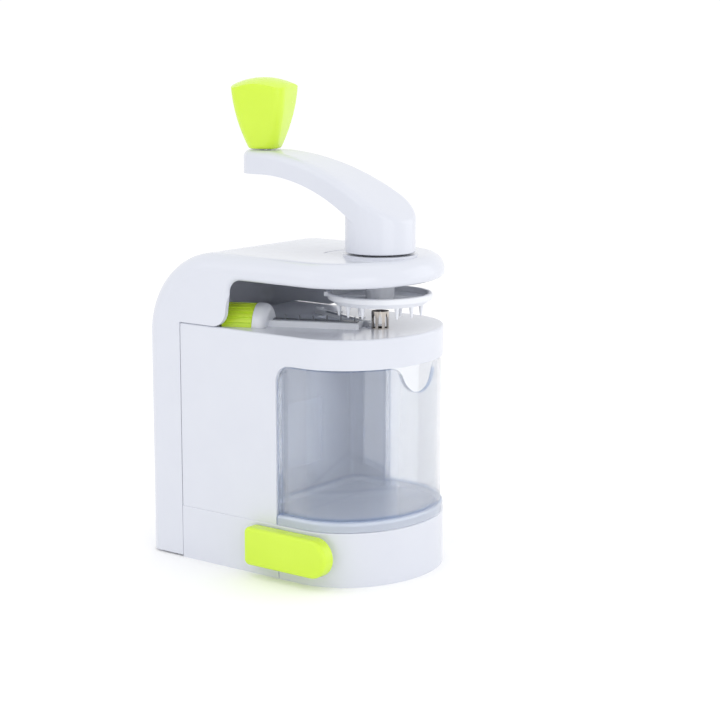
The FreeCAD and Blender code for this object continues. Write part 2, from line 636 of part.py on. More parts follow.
def arm_shell():
    shell = arm_block(0, 1.0)
    shell = shell.cut(under_arm_cutter())
    shell = fillet(shell, 3.2, lambda e: abs(e.BoundBox.ZMin - HEAD_BOTTOM) < 0.01
                   and abs(e.BoundBox.ZMax - HEAD_BOTTOM) < 0.01 and e.BoundBox.XMax > FRONT - 0.01)
    shell = shell.cut(arm_block(WALL, -5.0))
    ring = rod(BOSS_R + 1.0, CRANK_X, 0, HEAD_TOP - 1, HEAD_TOP + 1.2)
    sleeve = rod(11.0, CRANK_X, 0, 155.2, HEAD_TOP - 1)
    cover_bosses = [rod(3.2, x, y, 154.9, HEAD_TOP - 1) for x, y in COVER_SCREWS]
    ribs = [box(-30, CRANK_X - 10, y - 0.8, y + 0.8, 156.5, HEAD_TOP - 1) for y in (-14.0, 14.0)]
    wall_x = REAR + WALL - 0.5
    slider_bosses = [Part.makeCylinder(3.4, 3, V(wall_x, y, z), V(1, 0, 0)) for y, z in SLIDER_SCREWS]
    shell = join([shell, ring, sleeve] + cover_bosses + ribs + slider_bosses)
    holes = [rod(8.0, CRANK_X, 0, 150, HEAD_TOP + 2)]
    holes += [rod(1.2, x, y, 150, HEAD_TOP - 2.6) for x, y in COVER_SCREWS]
    for y, z in SLIDER_SCREWS:
        holes.append(Part.makeCylinder(1.6, 10, V(REAR - 1, y, z), V(1, 0, 0)))
        holes.append(Part.makeCylinder(3.2, 2.7, V(REAR - 1, y, z), V(1, 0, 0)))
    mark = rod(31.0, CRANK_X, 0, HEAD_TOP - 0.4, HEAD_TOP + 1)
    mark = mark.cut(rod(30.2, CRANK_X, 0, HEAD_TOP - 1, HEAD_TOP + 2))
    mark = mark.common(box(CRANK_X - 40, CRANK_X - 26, -9, 9, HEAD_TOP - 1, HEAD_TOP + 2))
    return cut_all(shell, holes + [mark])


def head_cover():
    """Flat lid that closes the underside of the head round the shaft."""
    lid = outline(WALL + 0.25, -26.0, 152.8, 154.8)
    for y in (-14.0, 14.0):
        lid = lid.fuse(box(-24, 26, y - 0.7, y + 0.7, 151.6, 153))
    lid = lid.removeSplitter()
    holes = [rod(12.0, CRANK_X, 0, 150, 156)]
    holes += [rod(1.5, x, y, 150, 156) for x, y in COVER_SCREWS]
    return cut_all(lid, holes)


def cover_screws():
    return group([screw(x, y, 151.2, 8.5, radius=1.2, head_r=2.4) for x, y in COVER_SCREWS])


def guide_channel():
    """Upright channel behind the housing: two cheeks and a web, closed at top and bottom."""
    rear = REAR + 5.0
    top = CHANNEL_TOP
    web = box(BODY_REAR - 2.4, BODY_REAR, -44, 44, 3, top)
    cheeks = [box(rear, BODY_REAR, 41.4, 44, 3, top), box(rear, BODY_REAR, -44, -41.4, 3, top)]
    ends = [box(rear, BODY_REAR, -44, 44, 3, 5.4), box(rear, BODY_REAR, -44, 44, top - 2.4, top)]
    channel = join([web] + cheeks + ends)
    holes = [rod(ROD_R, ROD_X, y, 2, CHANNEL_TOP + 1) for y in (-ROD_Y, ROD_Y)]
    holes += [Part.makeCylinder(1.5, 6, V(BODY_REAR - 4, y, z), V(1, 0, 0)) for y, z in CHANNEL_SCREWS]
    return cut_all(channel, holes)


def guide_rods():
    return group([rod(ROD_R, ROD_X, y, 3, CHANNEL_TOP) for y in (-ROD_Y, ROD_Y)])


def side_screw(x_head, y, z, length, radius, head_r):
    """Cross-head screw that points forwards, with its head's face at x_head."""
    tip = screw(0, 0, 0, length, radius=radius, head_r=head_r)
    tip.rotate(V(0, 0, 0), V(0, 1, 0), 90)
    tip.translate(V(x_head, y, z))
    return tip


def channel_screws():
    return group([side_screw(BODY_REAR - 4.0, y, z, 6.4, 1.2, 2.6) for y, z in CHANNEL_SCREWS])


def slider_block():
    """Acetal runner fixed inside the leg, with one bore for each guide rod."""
    block = box(REAR + WALL + 2.5, BODY_REAR - 4, -39, 39, SLIDER_LOW, SLIDER_HIGH)
    block = fillet(block, 2.0, lambda e: e.BoundBox.ZLength > 10)
    holes = [rod(ROD_R + FIT, ROD_X, y, 0, 40) for y in (-ROD_Y, ROD_Y)]
    holes += [Part.makeCylinder(1.2, 12, V(REAR, y, z), V(1, 0, 0)) for y, z in SLIDER_SCREWS]
    holes.append(box(REAR, BODY_REAR, -22, 22, SLIDER_LOW - 1, SLIDER_LOW + 3))
    return cut_all(block, holes)


def slider_screws():
    return group([side_screw(REAR + 0.1, y, z, 11, 1.2, 2.8) for y, z in SLIDER_SCREWS])


def shaft_bushing():
    """Flanged plain bearing pressed into the head."""
    bush = join([rod(8.0, CRANK_X, 0, 155.2, HEAD_TOP + 1.2), rod(10.5, CRANK_X, 0, 154.2, 155.2)])
    return bush.cut(rod(SHAFT_R + FIT, CRANK_X, 0, 150, HEAD_TOP + 2))


# ---- crank ----
SOCKET_TOP = 188.0
BOSS_NECK = 187.0               # the boss's rear wall runs up into the arm here


def crank_side(top_inset, low):
    """Side view of the crank above a lower edge: a flat seat, then one long curve down to the boss."""
    y = -25.0
    front = CRANK_X + BOSS_R + 0.5
    end = KNOB_X - ARM_END_R - 5
    top = ARM_END_TOP - top_inset
    edges = [
        Part.makeLine(V(front, y, low[2]), V(front, y, 180.6 - top_inset)),
        Part.Arc(V(front, y, 180.6 - top_inset), V(26, y, 202.4 - top_inset), V(-20, y, top)).toShape(),
        Part.makeLine(V(-20, y, top), V(end, y, top)),
        Part.makeLine(V(end, y, top), V(end, y, low[0])),
        Part.makeLine(V(end, y, low[0]), V(-27, y, low[0])),
        Part.Arc(V(-27, y, low[0]), V(10, y, low[1]), V(CRANK_X - 1.5, y, low[2])).toShape(),
        Part.makeLine(V(CRANK_X - 1.5, y, low[2]), V(front, y, low[2])),
    ]
    return profile(edges, V(0, 50, 0))


def crank_plan(inset, z0, z1):
    """Plan of the crank: two round ends joined by the straight lines that touch both."""
    big = BOSS_R - inset
    small = ARM_END_R - inset
    span = CRANK_X - KNOB_X
    lean = math.asin((big - small) / span)
    bx = CRANK_X - big * math.sin(lean)
    by = big * math.cos(lean)
    sx = KNOB_X - small * math.sin(lean)
    sy = small * math.cos(lean)
    edges = [
        Part.makeLine(V(sx, sy, z0), V(bx, by, z0)),
        Part.Arc(V(bx, by, z0), V(CRANK_X + big, 0, z0), V(bx, -by, z0)).toShape(),
        Part.makeLine(V(bx, -by, z0), V(sx, -sy, z0)),
        Part.Arc(V(sx, -sy, z0), V(KNOB_X - small, 0, z0), V(sx, sy, z0)).toShape(),
    ]
    return profile(edges, V(0, 0, z1 - z0))


def crank_arm():
    """Hollow moulding, open below: a round boss that sweeps up and back into the grip's seat."""
    underside = (ARM_END_BOTTOM, 195.6, 178.0)
    open_below = (ARM_END_BOTTOM - 8, 180.0, BOSS_BOTTOM + 2)
    outer = crank_side(0, underside).common(crank_plan(0, 160, 220))
    outer = fillet(outer, 3.6, lambda e: e.BoundBox.ZMin > 179.5 and e.BoundBox.ZMax > 185
                   and e.CenterOfMass.z > 184 and not below_arm(e))
    post = rod(BOSS_R, CRANK_X, 0, BOSS_BOTTOM, BOSS_NECK)
    post = fillet(post, 0.6, lambda e: e.BoundBox.ZMax < BOSS_BOTTOM + 0.01 and len(e.Vertexes) == 1)
    post = post.cut(box(CRANK_X, CRANK_X + 30, -30, 30, 179, 220))
    arm = join([outer, post])
    hollow = crank_side(WALL, open_below).common(crank_plan(WALL, 150, 220))
    hollow = hollow.fuse(rod(BOSS_R - WALL, CRANK_X, 0, BOSS_BOTTOM - 1, 178.5)).removeSplitter()
    beside_boss = crank_plan(-1, BOSS_BOTTOM - 2, BOSS_NECK).cut(rod(BOSS_R - WALL, CRANK_X, 0, 150, 200))
    hollow = hollow.cut(beside_boss)
    arm = arm.cut(hollow)
    whole = crank_side(1.5, underside).common(crank_plan(1.2, 160, 220))
    whole = whole.fuse(rod(BOSS_R - 1.2, CRANK_X, 0, 160, 179))
    inner = [rod(8.0, CRANK_X, 0, BOSS_BOTTOM + 2, 200), rod(6.4, KNOB_X, 0, ARM_END_BOTTOM, 220)]
    inner.append(box(KNOB_X, CRANK_X + BOSS_R, -0.9, 0.9, BOSS_BOTTOM + 4, 220))
    inner.append(box(CRANK_X - 0.9, CRANK_X + 0.9, -BOSS_R, BOSS_R, BOSS_BOTTOM + 4, 220))
    inner += [box(x - 0.8, x + 0.8, -BOSS_R, BOSS_R, 180, 220) for x in (-12.0, 8.0)]
    ribs = inner[0]
    for shape in inner[1:]:
        ribs = ribs.fuse(shape)
    arm = arm.fuse(ribs.common(whole)).removeSplitter()
    square = box(CRANK_X - 3.6, CRANK_X + 3.6, -3.6, 3.6, 174, SOCKET_TOP - 3)
    round_part = rod(SHAFT_R, CRANK_X, 0, BOSS_BOTTOM, 174)
    seat = rod(AXLE_R, KNOB_X, 0, ARM_END_BOTTOM - 1, ARM_END_TOP + 1)
    head_seat = rod(AXLE_R + 1.6, KNOB_X, 0, ARM_END_BOTTOM - 1, ARM_END_BOTTOM + 2)
    return cut_all(arm, [square, round_part, seat, head_seat])


def below_arm(edge):
    """True for the edges of the crank's underside."""
    centre = edge.CenterOfMass
    return centre.z < ARM_END_BOTTOM + 0.5 and centre.x < CRANK_X - 20 or edge.BoundBox.ZMax < 202


def crank_shaft():
    """Steel shaft: square in the crank, round in the bearing and in the food holder's hub."""
    shaft = rod(SHAFT_R, CRANK_X, 0, 142.0, 174).fuse(
        box(CRANK_X - 3.6, CRANK_X + 3.6, -3.6, 3.6, 174, SOCKET_TOP - 3))
    groove = rod(SHAFT_R + 1, CRANK_X, 0, 152.9, 153.9).cut(rod(SHAFT_R - 0.9, CRANK_X, 0, 152, 155))
    thread = rod(1.5, CRANK_X, 0, 141, 150)
    return cut_all(shaft, [groove, thread])


def shaft_clip():
    return snap_ring(SHAFT_R - 0.85, SHAFT_R + 2.8, 0.8, V(CRANK_X, 0, 153.0), UP)


def food_holder():
    """Dished wheel that grips the food: a rim, a flat floor, a hub and four groups of tapered teeth."""
    rim = rod(HOLDER_R, CRANK_X, 0, HOLDER_FLOOR + 1.2, HOLDER_RIM_TOP)
    rim = fillet(rim, 1.0, lambda e: len(e.Vertexes) == 1)
    floor = Part.makeCone(HOLDER_R - 3.2, HOLDER_R - 1.6, 1.8, V(CRANK_X, 0, HOLDER_FLOOR - 0.6), UP)
    body = join([rim, floor])
    body = body.cut(rod(HOLDER_R - 2.0, CRANK_X, 0, HOLDER_FLOOR + 1.6, HOLDER_RIM_TOP + 1))
    hub = rod(7.2, CRANK_X, 0, HOLDER_FLOOR, 150.6)
    spokes = []
    for i in range(4):
        web = box(CRANK_X + 6, CRANK_X + HOLDER_R - 2.5, -0.8, 0.8, HOLDER_FLOOR + 1, HOLDER_FLOOR + 2.8)
        web.rotate(V(CRANK_X, 0, 0), UP, 90 * i + 30)
        spokes.append(web)
    teeth = []
    for group_angle in (-54, 36, 126, 216):
        for radius, turn in ((22.3, 22.5), (22.3, 45.0), (22.3, 67.5), (14.5, 45.0)):
            root = V(CRANK_X + radius, 0, HOLDER_FLOOR)
            tooth = Part.makeCone(1.3, 0.5, HOLDER_FLOOR - TOOTH_TIP, root, V(0, 0, -1))
            tooth.rotate(V(CRANK_X, 0, 0), UP, group_angle + turn)
            teeth.append(tooth)
    outside = CRANK_X - HOLDER_R
    fin = box(outside - 2.6, outside + 1.2, -1.0, 1.0, HOLDER_RIM_TOP - 3, HOLDER_RIM_TOP - 0.8)
    fin.rotate(V(CRANK_X, 0, 0), UP, 24)
    body = join([body, hub, fin] + spokes + teeth)
    holes = [rod(SHAFT_R, CRANK_X, 0, 142.0, 152), rod(1.8, CRANK_X, 0, 138, 143)]
    holes.append(rod(3.3, CRANK_X, 0, 138, 140.8))
    return cut_all(body, holes)


def holder_screw():
    return screw(CRANK_X, 0, 139.6, 9.5, radius=1.5, head_r=3.0, head_t=1.2)


# ---- grip ----
def rounded_square(width, radius, z):
    """Closed outline with round corners, turned to the angle at which the grip stands."""
    half = width / 2
    core = half - radius
    bend = radius * math.sqrt(0.5)
    edges = []
    for i in range(4):
        turn = FreeCAD.Rotation(UP, KNOB_TURN + 90 * i)
        flat_from = turn.multVec(V(half, -core, 0))
        flat_to = turn.multVec(V(half, core, 0))
        middle = turn.multVec(V(core + bend, core + bend, 0))
        end = turn.multVec(V(core, half, 0))
        centre = V(KNOB_X, 0, z)
        edges.append(Part.makeLine(centre + flat_from, centre + flat_to))
        edges.append(Part.Arc(centre + flat_to, centre + middle, centre + end).toShape())
    return Part.Wire(edges)


KNOB_SECTIONS = [(17.0, 6.0, 0.0), (23.1, 5.6, 0.36), (26.5, 5.2, 0.68), (28.4, 4.8, 1.0)]


def knob():
    """Tapered grip with bowed sides: a round-cornered square, narrow at the foot and wide at the top."""
    tall = KNOB_SPLIT - KNOB_BOTTOM
    sections = [rounded_square(w, r, KNOB_BOTTOM + tall * share) for w, r, share in KNOB_SECTIONS]
    body = Part.makeLoft(sections, True, False)
    hollow = rod(9.5, KNOB_X, 0, KNOB_SPLIT - 10, KNOB_SPLIT + 1)
    bore = rod(AXLE_R + FIT, KNOB_X, 0, KNOB_BOTTOM - 1, KNOB_SPLIT)
    return cut_all(body, [hollow, bore])


def knob_cap():
    """Domed lid of the grip with a spigot that snaps into it."""
    width, radius, share = KNOB_SECTIONS[-1]
    ball_r = 46.0
    slab = Part.Face(rounded_square(width, radius, KNOB_SPLIT)).extrude(V(0, 0, 10))
    ball = Part.makeSphere(ball_r, V(KNOB_X, 0, HEIGHT - ball_r))
    dome = slab.common(ball)
    dome = fillet(dome, 1.1, lambda e: e.BoundBox.ZMin > KNOB_SPLIT + 0.3 and e.BoundBox.ZLength < 3)
    spigot = rod(9.4, KNOB_X, 0, KNOB_SPLIT - 3, KNOB_SPLIT + 1)
    spigot = spigot.cut(rod(7.6, KNOB_X, 0, KNOB_SPLIT - 4, KNOB_SPLIT))
    return join([dome, spigot])


def knob_axle():
    """Headed pin: its head sits in the underside of the crank and its tip carries the clip."""
    pin = join([rod(AXLE_R, KNOB_X, 0, ARM_END_BOTTOM + 0.2, KNOB_SPLIT - 6.2),
                rod(AXLE_R + 1.5, KNOB_X, 0, ARM_END_BOTTOM + 0.2, ARM_END_BOTTOM + 2)])
    groove = rod(AXLE_R + 1, KNOB_X, 0, KNOB_SPLIT - 9.0, KNOB_SPLIT - 8.1)
    groove = groove.cut(rod(AXLE_R - 0.7, KNOB_X, 0, KNOB_SPLIT - 10, KNOB_SPLIT - 7))
    return pin.cut(groove)


def knob_clip():
    return snap_ring(AXLE_R - 0.65, AXLE_R + 2.2, 0.7, V(KNOB_X, 0, KNOB_SPLIT - 8.95), UP)


PARTS = {
    "base_housing": base_housing,
    "bottom_plate": bottom_plate,
    "bottom_screws": bottom_screws,
    "grip_pads": grip_pads,
    "housing_screws": housing_screws,
    "suction_lever": suction_lever,
    "lever_shaft": lever_shaft,
    "lever_clip": lever_clip,
    "cup_yoke": cup_yoke,
    "suction_cup": suction_cup,
    "main_housing": main_housing,
    "corer": corer,
    "blade_holder": blade_holder,
    "straight_blade": straight_blade,
    "blade_rivets": blade_rivets,
    "blade_drum": blade_drum,
    "drum_flange": drum_flange,
    "selector_dial": selector_dial,
    "comb_coarse": lambda: comb(COMB_PITCHES["comb_coarse"], 0),
    "comb_medium": lambda: comb(COMB_PITCHES["comb_medium"], 1),
    "comb_fine": lambda: comb(COMB_PITCHES["comb_fine"], 2),
    "detent_spring": detent_spring,
    "container": container,
    "arm_shell": arm_shell,
    "head_cover": head_cover,
    "cover_screws": cover_screws,
    "guide_channel": guide_channel,
    "guide_rods": guide_rods,
    "channel_screws": channel_screws,
    "slider_block": slider_block,
    "slider_screws": slider_screws,
    "shaft_bushing": shaft_bushing,
    "crank_arm": crank_arm,
    "crank_shaft": crank_shaft,
    "shaft_clip": shaft_clip,
    "food_holder": food_holder,
    "holder_screw": holder_screw,
    "knob": knob,
    "knob_cap": knob_cap,
    "knob_axle": knob_axle,
    "knob_clip": knob_clip,
}

os.makedirs("parts", exist_ok=True)
for node, make in PARTS.items():
    shape = make()
    for solid in shape.Solids:
        if not solid.isValid():
            print(node, "has an invalid solid")
    print(node, len(shape.Solids), "solid(s),", round(shape.Volume), "mm3")
    shape.exportStep("parts/" + node + ".step")
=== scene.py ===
import bpy
import bmesh
import json
import math
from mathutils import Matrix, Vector


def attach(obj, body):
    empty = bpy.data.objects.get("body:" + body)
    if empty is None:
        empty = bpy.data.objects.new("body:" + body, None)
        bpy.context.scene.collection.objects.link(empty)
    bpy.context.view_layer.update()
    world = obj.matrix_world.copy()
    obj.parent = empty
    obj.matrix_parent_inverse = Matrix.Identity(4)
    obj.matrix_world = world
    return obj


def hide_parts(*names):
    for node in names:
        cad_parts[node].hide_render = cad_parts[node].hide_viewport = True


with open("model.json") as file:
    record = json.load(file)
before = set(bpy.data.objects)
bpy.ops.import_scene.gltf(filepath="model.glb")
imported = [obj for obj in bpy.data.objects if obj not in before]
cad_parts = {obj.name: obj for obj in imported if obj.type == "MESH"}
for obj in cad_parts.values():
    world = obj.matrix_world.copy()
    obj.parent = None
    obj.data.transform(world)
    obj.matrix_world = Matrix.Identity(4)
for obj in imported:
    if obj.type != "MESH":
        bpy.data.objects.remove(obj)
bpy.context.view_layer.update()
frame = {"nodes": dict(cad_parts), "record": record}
nodes = frame["nodes"]

MM = 0.001

# sockets of a colour mix node
MIX_SHARE = 0
MIX_FIRST = 6
MIX_SECOND = 7
MIX_COLOUR = 2

# the crank, the food holder and the corer turn about one upright axis
CRANK_X = 45.5
CORER_R = 4.5
CORER_BORE_R = 3.7

# clear container: the top of its flange and the rear panel's face, both matt
FLANGE_TOP = 33.3
PANEL_FACE = -4.3
MATT_BORDER = 0.3

# its thick places, each as a level and how far the deeper colour reaches from it; that colour is partly the
# plastic's own tint and partly painted refraction colour
WALL_FOOT = (34.0, 1.3)
WALL_RIM = (109.6, 0.7)
WALL_SHOULDER = (16.9, 0.5)
NOTCH_EDGE = (14.0, 0.5)

# its finger notch: the height of its centre, and where the nose with the notch begins
NOTCH_Z = 109.4
NOSE_FROM = 55.0

# real sizes of the patterns in the finishes
CLOUD_MM = 18.0
WIPE_MM = 6.0
HAZE_MM = 9.0
STREAK_MM = 0.9


# ---------- materials ----------
def linear(hex_colour):
    """An sRGB hex value as a linear RGBA colour."""
    channels = [int(hex_colour[i:i + 2], 16) / 255 for i in (0, 2, 4)]
    return [c / 12.92 if c <= 0.04045 else ((c + 0.055) / 1.055) ** 2.4 for c in channels] + [1.0]


def add_node(tree, kind, values=(), links=(), **settings):
    """Adds a node with its settings, its socket values and the sockets that feed it."""
    made = tree.nodes.new(kind)
    for name, value in settings.items():
        setattr(made, name, value)
    for socket, value in values:
        made.inputs[socket].default_value = value
    for socket, source in links:
        tree.links.new(source, made.inputs[socket])
    return made


def new_material(name):
    material = bpy.data.materials.new(name)
    material.use_nodes = True
    tree = material.node_tree
    tree.nodes.clear()
    return material, tree


def finish_material(tree, shader):
    add_node(tree, "ShaderNodeOutputMaterial", links=[("Surface", shader.outputs[0])])


def moulded_plastic(name, light, dark, smooth, rough, peel_mm, peel_height, constants=()):
    """Moulded plastic: a faint cloud in its colour and gloss, over the slight ripple of the mould."""
    material, tree = new_material(name)
    place = add_node(tree, "ShaderNodeTexCoord")
    cloud = add_node(tree, "ShaderNodeTexNoise", [("Scale", 1 / (CLOUD_MM * MM)), ("Detail", 2.0)],
                     [("Vector", place.outputs["Object"])])
    colour = add_node(tree, "ShaderNodeMix", [(MIX_FIRST, linear(light)), (MIX_SECOND, linear(dark))],
                      [(MIX_SHARE, cloud.outputs["Fac"])], data_type="RGBA")
    wipe = add_node(tree, "ShaderNodeTexNoise", [("Scale", 1 / (WIPE_MM * MM)), ("Detail", 3.0)],
                    [("Vector", place.outputs["Object"])])
    gloss = add_node(tree, "ShaderNodeMapRange", [("To Min", smooth), ("To Max", rough)],
                     [("Value", wipe.outputs["Fac"])])
    peel = add_node(tree, "ShaderNodeTexNoise", [("Scale", 1 / (peel_mm * MM)), ("Detail", 1.0)],
                    [("Vector", place.outputs["Object"])])
    bump = add_node(tree, "ShaderNodeBump", [("Strength", 1.0), ("Distance", peel_height * MM)],
                    [("Height", peel.outputs["Fac"])])
    shader = add_node(tree, "ShaderNodeBsdfPrincipled", constants,
                      [("Base Color", colour.outputs[MIX_COLOUR]), ("Roughness", gloss.outputs[0]),
                       ("Normal", bump.outputs[0])])
    finish_material(tree, shader)
    return material


def worked_metal(name, light, dark, smooth, rough, line_mm, stretch, depth):
    """Metal whose finish runs in one direction: fine lines that vary its colour, gloss and height."""
    material, tree = new_material(name)
    place = add_node(tree, "ShaderNodeTexCoord")
    along = add_node(tree, "ShaderNodeMapping", [("Scale", stretch)], [("Vector", place.outputs["Object"])])
    lines = add_node(tree, "ShaderNodeTexNoise", [("Scale", 1 / (line_mm * MM)), ("Detail", 3.0)],
                     [("Vector", along.outputs[0])])
    colour = add_node(tree, "ShaderNodeMix", [(MIX_FIRST, linear(light)), (MIX_SECOND, linear(dark))],
                      [(MIX_SHARE, lines.outputs["Fac"])], data_type="RGBA")
    gloss = add_node(tree, "ShaderNodeMapRange", [("To Min", smooth), ("To Max", rough)],
                     [("Value", lines.outputs["Fac"])])
    bump = add_node(tree, "ShaderNodeBump", [("Strength", 1.0), ("Distance", depth * MM)],
                    [("Height", lines.outputs["Fac"])])
    shader = add_node(tree, "ShaderNodeBsdfPrincipled", [("Metallic", 1.0)],
                      [("Base Color", colour.outputs[MIX_COLOUR]), ("Roughness", gloss.outputs[0]),
                       ("Normal", bump.outputs[0])])
    finish_material(tree, shader)
    return material


def near(tree, value, level, reach):
    """One where the value is at the level, falling to nothing at the reach on both sides."""
    away = add_node(tree, "ShaderNodeMath", [(1, level * MM)], [(0, value)], operation="SUBTRACT")
    size = add_node(tree, "ShaderNodeMath", links=[(0, away.outputs[0])], operation="ABSOLUTE")
    return add_node(tree, "ShaderNodeMapRange", [("From Max", reach * MM), ("To Min", 1.0), ("To Max", 0.0)],
                    [("Value", size.outputs[0])]).outputs[0]


def below(tree, value, level):
    """One below the level, nothing above it."""
    border = [("From Min", level * MM), ("From Max", (level + MATT_BORDER) * MM),
              ("To Min", 1.0), ("To Max", 0.0)]
    return add_node(tree, "ShaderNodeMapRange", border, [("Value", value)]).outputs[0]


def either(tree, masks):
    """The larger of the masks at each point."""
    joined = masks[0]
    for mask in masks[1:]:
        larger = add_node(tree, "ShaderNodeMath", links=[(0, joined), (1, mask)], operation="MAXIMUM")
        joined = larger.outputs[0]
    return joined


def clear_moulding(name, tint, edge, smooth, rough):
    """Clear polystyrene: polished, hazy from handling, matt at its foot and on its rear panel, and deeper in
    colour where its walls are thick: partly its own tint, partly painted refraction colour along the thick
    edges."""
    material, tree = new_material(name)
    place = add_node(tree, "ShaderNodeTexCoord")
    axes = add_node(tree, "ShaderNodeSeparateXYZ", links=[(0, place.outputs["Object"])])
    from_notch = add_node(tree, "ShaderNodeVectorMath", [(1, (0, 1, 1)), (2, (0, 0, -NOTCH_Z * MM))],
                          [(0, place.outputs["Object"])], operation="MULTIPLY_ADD")
    notch_distance = add_node(tree, "ShaderNodeVectorMath", links=[(0, from_notch.outputs[0])],
                              operation="LENGTH")
    nose = add_node(tree, "ShaderNodeMath", [(1, NOSE_FROM * MM)], [(0, axes.outputs["X"])],
                    operation="GREATER_THAN")
    notch_ring = near(tree, notch_distance.outputs["Value"], *NOTCH_EDGE)
    notch_edge = add_node(tree, "ShaderNodeMath", links=[(0, nose.outputs[0]), (1, notch_ring)],
                          operation="MULTIPLY")
    foot = near(tree, axes.outputs["Z"], *WALL_FOOT)
    rim = near(tree, axes.outputs["Z"], *WALL_RIM)
    shoulder = near(tree, axes.outputs["X"], *WALL_SHOULDER)
    thick = either(tree, [foot, rim, shoulder, notch_edge.outputs[0]])
    matt_foot = below(tree, axes.outputs["Z"], FLANGE_TOP)
    matt_panel = below(tree, axes.outputs["X"], PANEL_FACE)
    matt = either(tree, [matt_foot, matt_panel])
    dense = either(tree, [thick, matt])
    # Painted refraction colour: the thick places are mixed towards the blue edge colour, partly the
    # plastic's own deeper tint and partly the blue that light bent along thick edges shows.
    colour = add_node(tree, "ShaderNodeMix", [(MIX_FIRST, linear(tint)), (MIX_SECOND, linear(edge))],
                      [(MIX_SHARE, thick)], data_type="RGBA")
    body = add_node(tree, "ShaderNodeMapRange", [("To Min", 0.33), ("To Max", 0.70)], [("Value", dense)])
    clear = add_node(tree, "ShaderNodeMapRange", [("To Min", 0.78), ("To Max", 0.36)], [("Value", matt)])
    haze = add_node(tree, "ShaderNodeTexNoise", [("Scale", 1 / (HAZE_MM * MM)), ("Detail", 3.0)],
                    [("Vector", place.outputs["Object"])])
    gloss = add_node(tree, "ShaderNodeMapRange", [("To Min", smooth), ("To Max", rough)],
                     [("Value", haze.outputs["Fac"])])
    shader = add_node(tree, "ShaderNodeBsdfPrincipled", [("IOR", 1.50)],
                      [("Base Color", colour.outputs[MIX_COLOUR]), ("Alpha", body.outputs[0]),
                       ("Transmission Weight", clear.outputs[0]), ("Roughness", gloss.outputs[0])])
    finish_material(tree, shader)
    return material


# Polished ABS: cool white, with a clear highlight and a faint ripple from the mould.
gloss_white = moulded_plastic("gloss_moulded_white_abs", "D6D9E2", "D2D5DF", 0.14, 0.22, 2.5, 0.004,
                              [("IOR", 1.53)])
# The same ABS from a satin mould, used where the blades and the food sit.
satin_white = moulded_plastic("satin_moulded_white_abs", "E4E6EC", "DCDFE6", 0.28, 0.40, 1.0, 0.006,
                              [("IOR", 1.53)])
# Lime ABS: saturated yellow-green that glows a little at its edges.
lime_abs = moulded_plastic("gloss_moulded_lime_abs", "D0ED44", "C8E638", 0.20, 0.30, 1.8, 0.004,
                           [("IOR", 1.53), ("Subsurface Weight", 0.12),
                            ("Subsurface Radius", (0.9, 1.0, 0.25)), ("Subsurface Scale", 2.5 * MM)])
# Natural acetal: milky and dull, as its wearing faces are.
acetal = moulded_plastic("natural_moulded_acetal", "E7E7E2", "DEDED8", 0.42, 0.55, 1.4, 0.008)
# Grey rubber: dull, with the fine tooth of its mould.
rubber = moulded_plastic("matt_moulded_grey_rubber", "62656A", "595C61", 0.62, 0.78, 0.6, 0.020)
# Clear polystyrene: polished and slightly blue, its thick edges bluer, partly its own tint and partly
# painted refraction colour.
styrene = clear_moulding("clear_moulded_polystyrene", "E8EFFC", "7C97C4", 0.015, 0.05)
# Ground stainless steel: fine lines left along the blade by the grinding belt.
blade_steel = worked_metal("ground_stainless_steel", "D5D7DA", "B4B7BC", 0.18, 0.32, 0.35,
                           (0.08, 0.6, 1.0), 0.004)
# Etched stainless steel: dull and dark beside the white bar that holds the combs.
comb_steel = worked_metal("etched_stainless_steel", "7D8188", "63676E", 0.30, 0.42, 0.35,
                          (1.0, 1.0, 0.2), 0.004)
# Bright zinc-plated steel, with the slight mottle of plating.
zinc_steel = worked_metal("bright_zinc_plated_steel", "CDCFD3", "B9BCC2", 0.22, 0.34, 0.8,
                          (1.0, 1.0, 1.0), 0.004)
# Drawn stainless steel: upright streaks outside the corer, partly drawing lines and partly painted dark
# reflection, and the bore coloured near-black as painted shade.
corer_steel, corer_tree = new_material("drawn_stainless_steel_with_a_dark_bore")
corer_place = add_node(corer_tree, "ShaderNodeTexCoord")
from_axis = add_node(corer_tree, "ShaderNodeVectorMath", [(1, (1 / MM, 1 / MM, 0)), (2, (-CRANK_X, 0, 0))],
                     [(0, corer_place.outputs["Object"])], operation="MULTIPLY_ADD")
axis_distance = add_node(corer_tree, "ShaderNodeVectorMath", links=[(0, from_axis.outputs[0])],
                         operation="LENGTH")
outside = add_node(corer_tree, "ShaderNodeMapRange", [("From Min", CORER_BORE_R), ("From Max", CORER_R)],
                   [("Value", axis_distance.outputs["Value"])])
upright = add_node(corer_tree, "ShaderNodeMapping", [("Scale", (1.0, 1.0, 0.05))],
                   [("Vector", corer_place.outputs["Object"])])
streaks = add_node(corer_tree, "ShaderNodeTexNoise", [("Scale", 1 / (STREAK_MM * MM)), ("Detail", 2.0)],
                   [("Vector", upright.outputs[0])])
# Painted reflection: the dark streak colour 8A8078 stands in partly for dark reflections along the prongs
# and is partly drawing lines.
wall_colour = add_node(corer_tree, "ShaderNodeMix",
                       [(MIX_FIRST, linear("D9D5CF")), (MIX_SECOND, linear("8A8078"))],
                       [(MIX_SHARE, streaks.outputs["Fac"])], data_type="RGBA")
